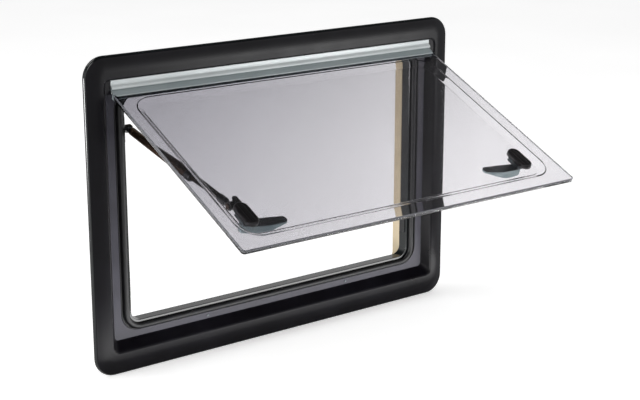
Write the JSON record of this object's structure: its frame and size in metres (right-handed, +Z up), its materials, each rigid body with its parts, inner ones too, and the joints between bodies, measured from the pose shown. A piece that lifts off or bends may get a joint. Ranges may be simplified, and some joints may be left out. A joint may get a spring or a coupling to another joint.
{
  "type": "caravan window",
  "caption": "Top-hung acrylic caravan window standing open on a telescopic stay, in a moulded frame with hinge rail, seal, latches and inner clamp frame.",
  "frame": {"origin": "on the flange's flat back face, at the middle of its bottom run, where the flange rests on the wall's outer face", "axes": "+X along the wall to the right as seen from outside, +Y into the wall, +Z up"},
  "size_m": [0.534, 0.3126, 0.384],
  "materials": {
    "frame_black": "fine satin, moulded",
    "inner_beige": "satin, moulded",
    "screw_steel": "zinc plated",
    "seal_rubber": "matt",
    "plug_grey": "gloss",
    "rail_alloy": "extruded, anodised satin",
    "acrylic": "clear, lightly tinted",
    "pad_black": "satin",
    "latch_slate": "satin, moulded",
    "pin_steel": "turned",
    "stay_black": "satin, moulded",
    "stay_tube": "dark lacquer",
    "rod_steel": "dark, drawn"
  },
  "bodies": {
    "root": {"outer_frame": "frame_black", "inner_frame": "inner_beige", "inner_frame_screws": "screw_steel", "window_seal": "seal_rubber", "drain_plugs": "plug_grey", "hinge_rail": "rail_alloy", "rail_end_left": "frame_black", "rail_end_right": "frame_black", "pane_hinge_profile": "rail_alloy", "outer_sheet": "acrylic", "inner_sheet": "acrylic", "latch_pad_left": "pad_black", "latch_post_left": "latch_slate", "latch_lever_left": "latch_slate", "latch_pin_left": "pin_steel", "latch_pad_right": "pad_black", "latch_post_right": "latch_slate", "latch_lever_right": "latch_slate", "latch_pin_right": "pin_steel", "catch_left": "frame_black", "catch_right": "frame_black", "stay_frame_bracket": "stay_black", "stay_frame_pin": "pin_steel", "stay_eye": "stay_black", "stay_tube": "stay_tube", "stay_collar": "stay_black", "stay_rod": "rod_steel", "stay_fork": "stay_black", "stay_pane_bracket": "stay_black", "stay_pane_pin": "pin_steel"}
  },
  "joints": []
}
